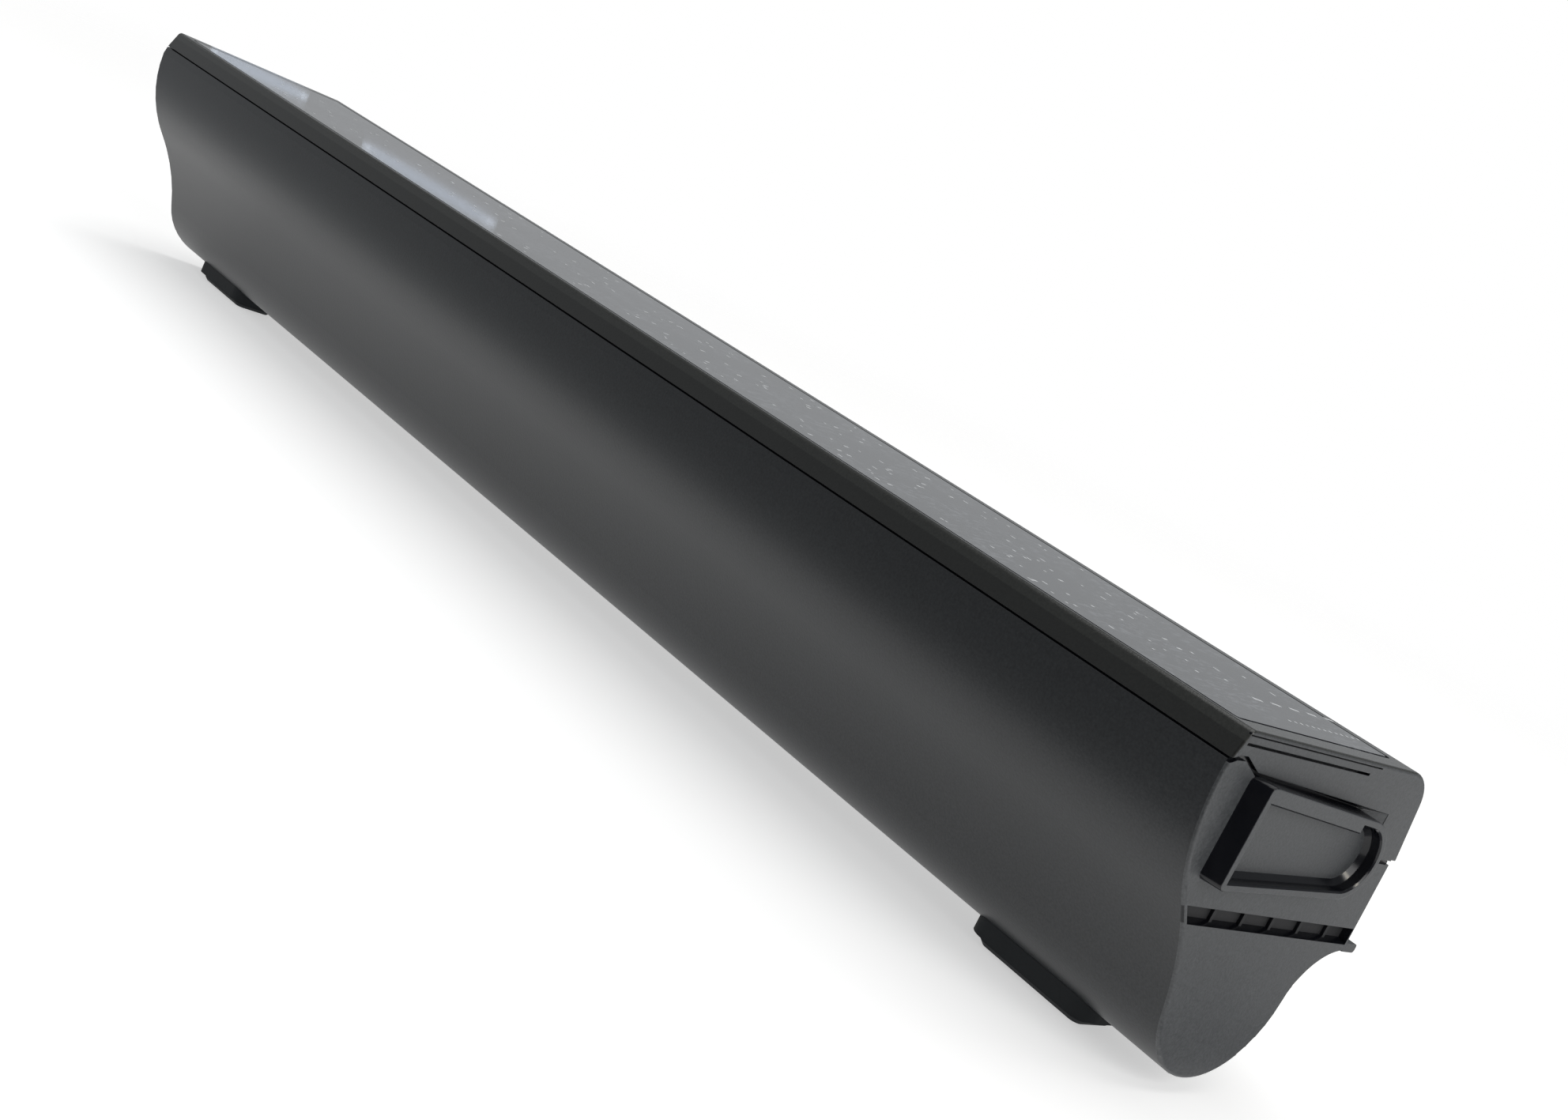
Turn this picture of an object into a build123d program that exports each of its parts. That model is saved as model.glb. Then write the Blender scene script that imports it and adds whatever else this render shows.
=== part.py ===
from build123d import *
import math
import os

# Laptop battery with a third row of cells in a bump along its underside.
# X runs along the pack with the shown end at +X, the wavy front faces -Y, the label faces +Z.
# All sizes are in millimetres. The origin is on the table, under the middle of the bounding box.

# Case, lengthwise
end_to_end = 290.0
rim_height = 2.4
far_taper = 6.0
end_wall = 2.0
x_near = (end_to_end - rim_height) / 2
x_far = x_near - end_to_end

# Case, section
case_depth = 43.8
case_top = 43.4
foot_height = 2.2
wall = 1.0
bump_wall = 2.0
bump_y = 1.6
bulge_z = 38.4
bulge_radius = 23.5
waist_radius = 36.3
flank_radius = 7.9
flank_top_z = 20.3
wall_draft = 0.5
skirt_step = 0.95
skirt_lean = 0.2
strip_foot = (-21.6, 40.0)
strip_lean = 0.35
back_corner_radius = 4.5
front_corner_radius = 0.8
end_edge_radius = 0.4
lip_thickness = 1.15
lip_tip_radius = 0.4

# Parting between the two halves, on the front, over the D-shaped rim and on the back
seam_front_z = strip_foot[1]
seam_turns = ((-20.6, 40.5), (-19.1, 40.6), (-16.0, 39.15))
seam_corner = (12.9, 37.9)
seam_corner_radius = 4.0
seam_back_z = 32.4
seam_width = 0.25
seam_end_width = 0.55
seam_depth = 0.5

# D-shaped rim on the shown end, with a bar inside its upper wall
rim_left = -15.75
rim_mid = (6.9, 32.6)
rim_radius = 5.0
rim_rise = 1.3
rim_drop = 1.15
rim_wall = 1.0
rim_left_draft = 1.25
rim_bar = 2.0
rim_bar_end = 4.8
rim_corner_radius = 0.9
rim_edge = 0.2
rim_floor = 0.5
rim_floor_edge = 0.6
moat_depth = 1.0

# Ribbed slot under the rim
slot_top_z = 23.3
slot_height = 2.15
slot_depth = 1.2
slot_floor_rise = 0.35
slot_left = -15.7
slot_slant = 1.7
slot_end_wall = 0.6
slot_undercut_height = 0.35
slot_undercut_depth = 0.4
slot_rib_count = 5
slot_rib_pitch = 5.95
slot_rib_first = -8.8
slot_rib_width = 0.5
slot_rib_height = 0.45

# Thin slot and, above it, a fine groove under the cover's edge on the shown end
cover_slot_z = 41.85
cover_slot_height = 0.3
cover_slot_depth = 0.7
cover_slot_span = (-20.4, 4.6)
cover_groove_height = 0.15
cover_groove_depth = 0.3
cover_groove_span = (-20.4, 6.6)

# Label and its recess
cover_plate = 1.5
label_thickness = 0.2
label_recess = 0.2
label_end_margin = 2.8
label_front_y = -19.6
label_back_y = 12.8
label_play = 0.5
label_corner = 1.0

# Cells
cell_radius = 9.2
cell_length = 65.2
cell_clearance = 0.05
cell_play = 0.2
cell_back_play = 0.5
cell_top_play = 0.5
cell_button_radius = 3.0
cell_button_height = 1.3
link_thickness = 0.2
link_radius = 4.0
paper_thickness = 0.3
paper_radius = 6.5

# Cell cradles and the partition
cradle_thickness = 1.5
cradle_top = 27.0
cradle_shares = (0.25, 0.75)
partition_thickness = 1.5
partition_top = 37.0

# Leads above the valley between the two upper rows
lead_width = 1.0
lead_thickness = 0.5
lead_top_play = 1.4
lead_pitch = 1.25
lead_bend = 1.5
lead_drop_inset = 3.5
tab_width = 1.0

# Circuit board and connector
board_thickness = 1.0
board_z = 30.5
board_length = 15.4
board_width = 31.0
board_play = 0.3
board_back_play = 1.2
ledge_depth = 1.5
ledge_height = 2.5
connector_width = 13.6
connector_height = 6.5
connector_depth = 8.8
connector_inset = 1.2
connector_play = 0.1
mouth_inset = 0.2
contact_count = 5
contact_pitch = 2.4
contact_thickness = 0.3
contact_slot = 1.0
contact_margin = 0.9
contact_tail = 1.5

# Parts soldered to the board: place along it from its middle and in from its back edge, length, width, height
soldered = {
    "controller_chip": (-2.0, 23.5, 6.0, 6.0, 1.0),
    "power_transistor_1": (-4.2, 11.5, 5.0, 4.0, 1.2),
    "power_transistor_2": (-4.2, 6.5, 5.0, 4.0, 1.2),
    "sense_resistor": (3.6, 11.0, 3.2, 6.4, 0.6),
    "fuse": (3.6, 4.5, 3.2, 4.5, 1.5),
}

# Rubber feet
foot_length = 20.7
foot_width = 10.6
foot_inset = 11.7
foot_base = 1.2
foot_step = 1.2
foot_corner = 3.0
foot_edge = 0.6

os.makedirs("parts", exist_ok=True)


def crossing(centre_a, radius_a, centre_b, radius_b):
    """Where two circles cross, on the right of the way from the first centre to the second."""
    way = Vector(*centre_b) - Vector(*centre_a)
    along = (radius_a**2 - radius_b**2 + way.length**2) / (2 * way.length)
    aside = math.sqrt(radius_a**2 - along**2)
    ahead = way.normalized()
    return Vector(*centre_a) + ahead * along + Vector(ahead.Y, -ahead.X) * aside


def bearing(centre, point):
    """The angle in degrees at which a point is seen from a centre."""
    way = Vector(*point) - Vector(*centre)
    return math.degrees(math.atan2(way.Y, way.X))


# Arcs of the section in Y and Z: the bulge over the waist, the bump, and the flank up to the back wall
front_y = -case_depth / 2
bump_radius = cell_radius + bump_wall
bump_z = foot_height + bump_radius
bump_centre = (bump_y, bump_z)
bulge_centre = (front_y + bulge_radius, bulge_z)
waist_centre = crossing(bulge_centre, bulge_radius + waist_radius, bump_centre, bump_radius + waist_radius)
flank_z = flank_top_z - flank_radius
flank_centre = (bump_y + math.sqrt((bump_radius + flank_radius) ** 2 - (flank_z - bump_z) ** 2), flank_z)
bulge_turn = bearing(waist_centre, bulge_centre)
waist_turn = bulge_turn - bearing(waist_centre, bump_centre)
bump_turn = 180 + bearing(bump_centre, flank_centre) - bearing(waist_centre, bump_centre)

# Cell rows in section: one inside the bulge, one beside it, one in the bump
row_z = case_top - cover_plate - cell_top_play - cell_radius
row_a_reach = bulge_radius - wall - cell_play - cell_radius
row_a_y = bulge_centre[0] - math.sqrt(row_a_reach**2 - (row_z - bulge_z) ** 2)
row_b_y = row_a_y + 2 * cell_radius + cell_clearance
rows = {"a": (row_a_y, row_z), "b": (row_b_y, row_z), "c": bump_centre}
row_centres = list(rows.values())

# Back wall, placed behind the second row
wall_step_y = row_b_y + cell_radius + cell_back_play + wall
wall_foot_y = wall_step_y + wall_draft
wall_foot_z = flank_z + math.sqrt(flank_radius**2 - (flank_centre[0] - wall_foot_y) ** 2)
skirt_y = wall_step_y + skirt_step

# Positions along the pack, from the shown end to the far end, with as many cells as leave room for the board
cell_pitch = cell_length + link_thickness
board_room = partition_thickness + board_play + board_length + far_taper
cell_room = end_to_end - 2 * end_wall - 2 * paper_thickness - link_thickness - board_room
cell_columns = math.floor(cell_room / cell_pitch)
pack_near = x_near - end_wall - paper_thickness - link_thickness
link_x = [pack_near - i * cell_pitch for i in range(cell_columns + 1)]
partition_x = link_x[-1] - paper_thickness
zone_x = partition_x - partition_thickness

# Board and connector, placed from the partition and the back wall
board_back_y = wall_step_y - wall - board_back_play
board_front_y = board_back_y - board_width
board_centre = (zone_x - board_play - board_length / 2, board_back_y - board_width / 2)
connector_x = zone_x - connector_inset - connector_width / 2
connector_mouth_y = wall_step_y - mouth_inset
connector_back_y = connector_mouth_y - connector_depth
connector_low = board_z - connector_height


def section(inset):
    """The case's outline in Y and Z, moved inwards by the inset."""
    inner_top = case_top - inset
    back_top = (skirt_y - skirt_lean * (case_top - seam_back_z) - inset, inner_top)
    strip_top = (strip_foot[0] + strip_lean * (case_top - seam_front_z) + inset, inner_top)
    back = [(wall_step_y - inset, seam_back_z)]
    if inset == 0:
        back.append((skirt_y, seam_back_z))
    foot_reach = (flank_centre[0] - wall_foot_y + inset) / (flank_radius + inset)
    flank_turn = bearing(flank_centre, bump_centre) % 360 - 90 - math.degrees(math.asin(foot_reach))
    with BuildSketch() as face:
        with BuildLine():
            bulge = JernArc((front_y + inset, bulge_z), (0, -1), bulge_radius - inset, bulge_turn)
            waist = JernArc(bulge @ 1, bulge % 1, waist_radius + inset, -waist_turn)
            bump = JernArc(waist @ 1, waist % 1, bump_radius - inset, bump_turn)
            flank = JernArc(bump @ 1, bump % 1, flank_radius + inset, -flank_turn)
            Polyline(flank @ 1, *back, back_top, strip_top, (strip_foot[0] + inset, strip_foot[1]), bulge @ 0)
        make_face()
        fillet(face.vertices().sort_by_distance(back_top)[0], back_corner_radius - inset)
        if inset < front_corner_radius:
            fillet(face.vertices().sort_by_distance(strip_top)[0], front_corner_radius - inset)
    return face.sketch_local


# Wedge beyond the tapered far end
with BuildSketch() as far_wedge:
    with BuildLine():
        Polyline(
            (x_far, front_y), (x_far + far_taper, -front_y),
            (x_far - far_taper, -front_y), (x_far - far_taper, front_y), close=True,
        )
    make_face()

# The case as a solid block
with BuildPart() as block:
    with BuildSketch(Plane.YZ.offset(x_far)):
        add(section(0))
    extrude(amount=end_to_end)
    with BuildSketch(Plane.XY):
        add(far_wedge.sketch_local)
    extrude(amount=2 * case_top, both=True, mode=Mode.SUBTRACT)
    fillet(block.faces().sort_by(Axis.X)[-1].edges(), end_edge_radius)

# The hollow inside the walls
with BuildPart() as hollow:
    with BuildSketch(Plane.YZ.offset(x_far + end_wall)):
        add(section(wall))
    extrude(amount=end_to_end - 2 * end_wall)
    with BuildSketch(Plane.XY.offset(case_top - cover_plate)):
        Rectangle(2 * end_to_end, 2 * case_depth)
    extrude(amount=cover_plate, mode=Mode.SUBTRACT)
    with BuildSketch(Plane.XY.move(Location((end_wall, 0, 0)))):
        add(far_wedge.sketch_local)
    extrude(amount=2 * case_top, both=True, mode=Mode.SUBTRACT)

# Everything above the parting, between the shown end and the far end
with BuildPart() as above_seam:
    with BuildSketch(Plane.YZ.offset(x_far - end_wall)) as parting:
        with BuildLine():
            Polyline(
                (2 * front_y, seam_front_z), (strip_foot[0], seam_front_z), *seam_turns, seam_corner,
                (seam_corner[0], seam_back_z), (-2 * front_y, seam_back_z), (-2 * front_y, 2 * case_top),
                (2 * front_y, 2 * case_top), close=True,
            )
        make_face()
        fillet(parting.vertices().sort_by_distance((x_far - end_wall, *seam_corner))[0], seam_corner_radius)
    extrude(amount=end_to_end + 2 * end_wall)

# Shallow skin of the block, where the seam shows as a groove
with BuildPart() as skin:
    add(block.part)
    with BuildSketch(Plane.YZ.offset(x_far + 2 * seam_depth)):
        add(section(seam_depth))
    extrude(amount=end_to_end - 3 * seam_depth, mode=Mode.SUBTRACT)

# D-shaped rim: a wall with a slanting left side, which stands in the moat, round a raised floor
rim_top = (rim_mid[0], rim_mid[1] + rim_radius)
rim_low = (rim_mid[0], rim_mid[1] - rim_radius)


def rim_outline(left):
    """The rim's outline in Y and Z, with its straight side at the left place given."""
    with BuildSketch() as face:
        with BuildLine():
            RadiusArc(rim_top, rim_low, rim_radius)
            Polyline(rim_low, (left, rim_low[1] - rim_drop), (left, rim_top[1] + rim_rise), rim_top)
        make_face()
        fillet(face.vertices().group_by(Axis.X)[0], rim_corner_radius)
    return face.sketch_local


with BuildSketch() as rim_room:
    add(rim_outline(rim_left))
    offset(amount=-rim_wall, mode=Mode.REPLACE)
    with BuildLine():
        bar_left_z = rim_top[1] + rim_rise
        bar_end_z = rim_top[1] + rim_rise * (rim_mid[0] - rim_bar_end) / (rim_mid[0] - rim_left)
        Polyline(
            (rim_left, bar_left_z), (rim_bar_end, bar_end_z), (rim_bar_end, bar_end_z - rim_bar),
            (rim_left, bar_left_z - rim_bar), close=True,
        )
    make_face(mode=Mode.SUBTRACT)
with BuildPart() as rim:
    with BuildSketch(Plane.YZ.offset(x_near - moat_depth)):
        add(rim_outline(rim_left - rim_left_draft))
    with BuildSketch(Plane.YZ.offset(x_near + rim_height)):
        add(rim_outline(rim_left))
    loft(ruled=True)
    with BuildSketch(Plane.YZ.offset(x_near + rim_floor)):
        add(rim_room.sketch_local)
    extrude(amount=rim_height - rim_floor, mode=Mode.SUBTRACT)
    fillet(rim.faces().sort_by(Axis.X)[-1].outer_wire().edges(), rim_edge)
    chamfer(rim.faces().sort_by(Axis.X)[-1].inner_wires()[0].edges(), rim_edge)
    rim_floor_face = rim.faces().filter_by(Axis.X).sort_by_distance((x_near + rim_floor, *rim_mid))[0]
    chamfer(rim_floor_face.edges().sort_by(Axis.Z)[0], rim_floor_edge)

# The groove that shows along the parting, cut into the lower half's edge, wider on the shown end
with BuildPart() as seam_groove:
    add(above_seam.part.moved(Location((0, 0, -seam_width))))
    add(skin.part, mode=Mode.INTERSECT)
with BuildPart() as end_seam_groove:
    with BuildSketch(Plane.YZ.offset(x_near)):
        with Locations((0, -seam_end_width)):
            add(parting.sketch_local)
    extrude(amount=-seam_depth)

# Lower case: wavy front, bump, shown end with its rim and slot, and the lower back wall
with BuildPart() as lower_case:
    add(block.part)
    add(hollow.part, mode=Mode.SUBTRACT)
    # Cradles under the cells, two to each cell, with the way down into the bump kept open
    room_radius = cell_radius + cell_clearance
    cradle_x = [x - cell_pitch * share for x in link_x[:-1] for share in cradle_shares]
    for x in cradle_x:
        with BuildSketch(Plane.YZ.offset(x - cradle_thickness / 2)):
            add(section(wall / 2))
            with Locations((0, cradle_top / 2)):
                Rectangle(2 * case_depth, cradle_top, mode=Mode.INTERSECT)
            with Locations(*row_centres):
                Circle(room_radius, mode=Mode.SUBTRACT)
            with Locations(bump_centre):
                Rectangle(2 * room_radius, cradle_top, align=(Align.CENTER, Align.MIN), mode=Mode.SUBTRACT)
        extrude(amount=cradle_thickness)
    # Partition between the cells and the circuit board
    with BuildSketch(Plane.YZ.offset(zone_x)):
        add(section(wall / 2))
        with Locations((0, partition_top / 2)):
            Rectangle(2 * case_depth, partition_top, mode=Mode.INTERSECT)
    extrude(amount=partition_thickness)
    # Ledge and seat that carry the board and the connector
    with BuildSketch(Plane.XY.offset(board_z - ledge_height)):
        with Locations((zone_x, board_front_y)):
            Rectangle(ledge_depth, board_width / 2, align=(Align.MAX, Align.MIN))
    extrude(amount=ledge_height)
    seat_low = wall_foot_z + wall / 2
    with BuildSketch(Plane.XY.offset(seat_low)):
        with Locations((connector_x, wall_step_y - wall / 2)):
            Rectangle(connector_width, connector_depth, align=(Align.CENTER, Align.MAX))
    extrude(amount=connector_low - seat_low)
    add(above_seam.part, mode=Mode.SUBTRACT)
    add(seam_groove.part, mode=Mode.SUBTRACT)
    add(end_seam_groove.part, mode=Mode.SUBTRACT)
    # Lip along the foot of the back wall
    with BuildSketch(Plane.YZ.offset(x_far + far_taper)) as lip:
        with Locations((wall_step_y, wall_foot_z)):
            Rectangle(-front_y - wall_step_y, lip_thickness, align=(Align.MIN, Align.MIN))
        fillet(lip.vertices().group_by(Axis.X)[-1], lip_tip_radius)
    extrude(amount=end_to_end - far_taper)
    # Window for the connector
    with BuildSketch(Plane.XZ.offset(-connector_back_y)):
        with Locations((connector_x, board_z - connector_height / 2)):
            Rectangle(connector_width + 2 * connector_play, connector_height + 2 * connector_play)
    extrude(amount=connector_back_y - case_depth, mode=Mode.SUBTRACT)
    # Moat between the rim and the cover's edge
    with BuildSketch(Plane.YZ.offset(x_near)) as moat:
        with BuildLine():
            Polyline(
                (seam_turns[-1][0], rim_mid[1]), seam_turns[-1],
                seam_corner, (seam_corner[0], rim_mid[1]), close=True,
            )
        make_face()
        fillet(moat.vertices().sort_by_distance((x_near, *seam_corner))[0], seam_corner_radius)
    extrude(amount=-moat_depth, mode=Mode.SUBTRACT)
    add(rim.part)
    # Ribbed slot, with an undercut at its top, a floor that rises inwards and low ribs on its back wall
    slot_low_z = slot_top_z - slot_height
    slot_right = wall_foot_y - slot_end_wall
    with BuildSketch(Plane.YZ.offset(x_near)) as slot:
        with BuildLine():
            Polyline(
                (slot_left, slot_top_z), (slot_right, slot_top_z), (slot_right, slot_low_z),
                (slot_left + slot_slant, slot_low_z), close=True,
            )
        make_face()
    extrude(amount=-slot_depth, mode=Mode.SUBTRACT)
    with BuildSketch(Plane.YZ.offset(x_near - slot_depth)):
        with Locations((slot_left + slot_slant, slot_top_z)):
            Rectangle(
                slot_right - slot_left - slot_slant, slot_undercut_height, align=(Align.MIN, Align.MAX)
            )
    extrude(amount=-slot_undercut_depth, mode=Mode.SUBTRACT)
    with BuildSketch(Plane.XZ.offset(-slot_left - slot_slant)):
        with BuildLine():
            Polyline(
                (x_near, slot_low_z), (x_near - slot_depth, slot_low_z + slot_floor_rise),
                (x_near - slot_depth, slot_low_z), close=True,
            )
        make_face()
    extrude(amount=slot_left + slot_slant - slot_right)
    with BuildSketch(Plane.YZ.offset(x_near - slot_depth)):
        with Locations(*[(slot_rib_first + i * slot_rib_pitch, slot_low_z) for i in range(slot_rib_count)]):
            Rectangle(slot_rib_width, slot_height, align=(Align.CENTER, Align.MIN))
    extrude(amount=slot_rib_height)
lower_case.part.label = "lower_case"
export_step(lower_case.part, "parts/lower_case.step")

# Upper case: the cover with its front strip, its share of the ends and the upper back wall
with BuildPart() as upper_case:
    add(block.part)
    add(hollow.part, mode=Mode.SUBTRACT)
    add(above_seam.part, mode=Mode.INTERSECT)
    # Recess for the label
    with BuildSketch(Plane.XY.offset(case_top - label_recess)) as recess:
        with BuildLine():
            recess_near = x_near - label_end_margin
            recess_far = x_far + label_end_margin + far_taper
            recess_taper = far_taper * (label_back_y - label_front_y) / case_depth
            Polyline(
                (recess_near, label_front_y), (recess_near, label_back_y), (recess_far, label_back_y),
                (recess_far - recess_taper, label_front_y), close=True,
            )
        make_face()
        fillet(recess.vertices(), label_corner)
    extrude(amount=label_recess, mode=Mode.SUBTRACT)
    # Thin slot and fine groove under the edge on the shown end
    with BuildSketch(Plane.YZ.offset(x_near)):
        with Locations((sum(cover_slot_span) / 2, cover_slot_z)):
            Rectangle(cover_slot_span[1] - cover_slot_span[0], cover_slot_height)
    extrude(amount=-cover_slot_depth, mode=Mode.SUBTRACT)
    with BuildSketch(Plane.YZ.offset(x_near)):
        with Locations((sum(cover_groove_span) / 2, case_top - end_edge_radius - cover_groove_height)):
            Rectangle(cover_groove_span[1] - cover_groove_span[0], cover_groove_height)
    extrude(amount=-cover_groove_depth, mode=Mode.SUBTRACT)
upper_case.part.label = "upper_case"
export_step(upper_case.part, "parts/upper_case.step")

# Label film in its recess
with BuildPart() as label:
    with BuildSketch(Plane.XY.offset(case_top - label_recess)):
        add(recess.sketch_local)
        offset(amount=-label_play, mode=Mode.REPLACE)
    extrude(amount=label_thickness)
label.part.label = "label"
export_step(label.part, "parts/label.step")

# Rubber feet: a base that follows the bump and a smaller pad that stands on the table
foot_x = {"near": x_near - foot_inset - foot_length / 2, "far": x_far + foot_inset + foot_length / 2}
for side, x in foot_x.items():
    with BuildPart() as foot:
        with BuildSketch(Plane.XY):
            with Locations((x, bump_y)):
                pad_length = foot_length - 2 * foot_step
                pad_width = foot_width - 2 * foot_step
                RectangleRounded(pad_length, pad_width, foot_corner - foot_step)
        extrude(amount=foot_base)
        chamfer(foot.faces().sort_by(Axis.Z)[0].edges(), foot_edge)
        with BuildSketch(Plane.XY.offset(foot_base)):
            with Locations((x, bump_y)):
                RectangleRounded(foot_length, foot_width, foot_corner)
        extrude(amount=bump_radius)
        add(block.part, mode=Mode.SUBTRACT)
        with BuildSketch(Plane.XY.offset(bump_z)):
            with Locations((x, bump_y)):
                Rectangle(2 * foot_length, 2 * foot_width)
        extrude(amount=bump_radius, mode=Mode.SUBTRACT)
    foot.part.label = "rubber_foot_" + side
    export_step(foot.part, "parts/rubber_foot_" + side + ".step")

# Cells: a can with a raised button, button towards the far end
for row, centre in rows.items():
    for column in range(cell_columns):
        cell_start = link_x[column]
        with BuildPart() as cell:
            with BuildSketch(Plane.XZ):
                with BuildLine():
                    rim_at = cell_length - cell_button_height
                    Polyline(
                        (0, 0), (0, cell_radius), (-rim_at, cell_radius), (-rim_at, cell_button_radius),
                        (-cell_length, cell_button_radius), (-cell_length, 0), close=True,
                    )
                make_face()
            revolve(axis=Axis.X)
        placed = cell.part.moved(Location((cell_start, *centre)))
        node = "cell_" + row + str(column + 1)
        placed.label = node
        export_step(placed, "parts/" + node + ".step")

# Nickel links: one plate at each end of the columns and between them, with a tab up to its lead
lead_z = case_top - cover_plate - lead_top_play - lead_thickness / 2
lead_y = [(row_a_y + row_b_y) / 2 + (i - cell_columns / 2) * lead_pitch for i in range(cell_columns + 1)]
for i, x in enumerate(link_x):
    with BuildPart() as link:
        with BuildSketch(Plane.YZ.offset(x)):
            with Locations(*row_centres):
                Circle(link_radius)
            make_hull()
            with Locations((lead_y[i], row_z)):
                Rectangle(tab_width, lead_z + lead_thickness / 2 - row_z, align=(Align.CENTER, Align.MIN))
        extrude(amount=link_thickness)
    link.part.label = "nickel_link_" + str(i)
    export_step(link.part, "parts/nickel_link_" + str(i) + ".step")

# Insulating papers over the two outer links
for side, x in {"near": pack_near + link_thickness, "far": partition_x}.items():
    with BuildPart() as paper:
        with BuildSketch(Plane.YZ.offset(x)):
            with Locations(*row_centres):
                Circle(paper_radius)
            make_hull()
        extrude(amount=paper_thickness)
    paper.part.label = "insulating_paper_" + side
    export_step(paper.part, "parts/insulating_paper_" + side + ".step")

# Flat leads from the links to the board, the sensing ones counted from the board
sense_leads = ["lead_sense_" + str(cell_columns - i) for i in range(1, cell_columns)]
lead_names = ["lead_negative", *sense_leads, "lead_positive"]
for i, node in enumerate(lead_names):
    with BuildPart() as lead:
        with BuildLine() as route:
            drop_x = zone_x - lead_drop_inset
            FilletPolyline(
                (link_x[i], lead_y[i], lead_z), (drop_x, lead_y[i], lead_z),
                (drop_x, lead_y[i], board_z + board_thickness), radius=lead_bend,
            )
        with BuildSketch(Plane(origin=route.line @ 0, x_dir=(0, 1, 0), z_dir=route.line % 0)):
            Rectangle(lead_width, lead_thickness)
        sweep()
    lead.part.label = node
    export_step(lead.part, "parts/" + node + ".step")

# Circuit board and the parts soldered to it
board_top = board_z + board_thickness
with BuildPart() as board:
    with BuildSketch(Plane.XY.offset(board_z)):
        with Locations(board_centre):
            Rectangle(board_length, board_width)
    extrude(amount=board_thickness)
board.part.label = "circuit_board"
export_step(board.part, "parts/circuit_board.step")

for node, (along, inward, length, width, height) in soldered.items():
    with BuildPart() as chip:
        with BuildSketch(Plane.XY.offset(board_top)):
            with Locations((board_centre[0] + along, board_back_y - inward)):
                Rectangle(length, width)
        extrude(amount=height)
    chip.part.label = node
    export_step(chip.part, "parts/" + node + ".step")

# Output connector: a block under the board with one slot for each contact, open towards the laptop
contact_x = [connector_x + (i - (contact_count - 1) / 2) * contact_pitch for i in range(contact_count)]
contact_low = connector_low + contact_margin
contact_high = board_z - contact_margin
contact_back_y = connector_back_y + contact_margin
with BuildPart() as connector:
    with BuildSketch(Plane.XY.offset(connector_low)):
        with Locations((connector_x, connector_back_y)):
            Rectangle(connector_width, connector_depth, align=(Align.CENTER, Align.MIN))
    extrude(amount=connector_height)
    with BuildSketch(Plane.XY.offset(contact_low)):
        with Locations(*[(x, contact_back_y) for x in contact_x]):
            Rectangle(contact_slot, case_depth, align=(Align.CENTER, Align.MIN))
    extrude(amount=contact_high - contact_low, mode=Mode.SUBTRACT)
    with BuildSketch(Plane.XY.offset(contact_high)):
        with Locations(*[(x, contact_back_y) for x in contact_x]):
            Rectangle(contact_slot, contact_tail, align=(Align.CENTER, Align.MIN))
    extrude(amount=contact_margin, mode=Mode.SUBTRACT)
connector.part.label = "connector_body"
export_step(connector.part, "parts/connector_body.step")

# Contacts: a leaf against one side of each slot, with a tail up to the board
for i, x in enumerate(contact_x):
    with BuildPart() as contact:
        with BuildSketch(Plane.YZ.offset(x - contact_slot / 2)):
            with BuildLine():
                leaf_front = connector_mouth_y - contact_margin
                Polyline(
                    (contact_back_y, contact_low), (leaf_front, contact_low), (leaf_front, contact_high),
                    (contact_back_y + contact_tail, contact_high), (contact_back_y + contact_tail, board_z),
                    (contact_back_y, board_z), close=True,
                )
            make_face()
        extrude(amount=contact_thickness)
    contact.part.label = "contact_" + str(i + 1)
    export_step(contact.part, "parts/contact_" + str(i + 1) + ".step")
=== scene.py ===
import math
import random

import bmesh
import bpy
from mathutils import Matrix, Vector


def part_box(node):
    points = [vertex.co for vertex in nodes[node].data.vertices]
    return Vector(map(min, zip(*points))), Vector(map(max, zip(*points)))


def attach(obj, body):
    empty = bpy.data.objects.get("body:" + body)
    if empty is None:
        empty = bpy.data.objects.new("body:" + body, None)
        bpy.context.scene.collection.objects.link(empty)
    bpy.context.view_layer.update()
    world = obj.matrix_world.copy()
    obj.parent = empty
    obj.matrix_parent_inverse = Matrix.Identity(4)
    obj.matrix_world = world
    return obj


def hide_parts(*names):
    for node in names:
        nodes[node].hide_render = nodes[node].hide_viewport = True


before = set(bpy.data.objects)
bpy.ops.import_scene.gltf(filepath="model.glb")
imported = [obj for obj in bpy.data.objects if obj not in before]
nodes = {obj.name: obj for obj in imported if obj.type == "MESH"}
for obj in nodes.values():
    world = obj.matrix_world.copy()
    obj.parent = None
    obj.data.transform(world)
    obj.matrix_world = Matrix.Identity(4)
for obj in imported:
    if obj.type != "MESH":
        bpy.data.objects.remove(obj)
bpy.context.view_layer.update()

# Laptop battery with a third row of cells in a bump along its underside.
# Sizes are in millimetres times mm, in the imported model's frame: the shown end faces +X and the label +Z.

# Cells
# Twelve lithium cells, each a plated steel can in a heat-shrunk PVC sleeve, in three rows of four.
# The sleeve folds over the can's rim and leaves the flat ends and the button bare for the welds.
mm = 0.001


def linear(hex_colour):
    """An sRGB hex value as a linear colour."""
    channels = [int(hex_colour[i:i + 2], 16) / 255 for i in (1, 3, 5)]
    return [c / 12.92 if c <= 0.04045 else ((c + 0.055) / 1.055) ** 2.4 for c in channels] + [1.0]


def set_sockets(tree, node, sockets):
    """Sets each input of a node to a value, or links it to another node's output."""
    for name, value in sockets.items():
        if isinstance(value, bpy.types.NodeSocket):
            tree.links.new(value, node.inputs[name])
        else:
            node.inputs[name].default_value = value


def add_node(tree, kind, sockets, **settings):
    """Adds a node with its settings and links."""
    node = tree.nodes.new(kind)
    for name, value in settings.items():
        setattr(node, name, value)
    set_sockets(tree, node, sockets)
    return node


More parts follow.
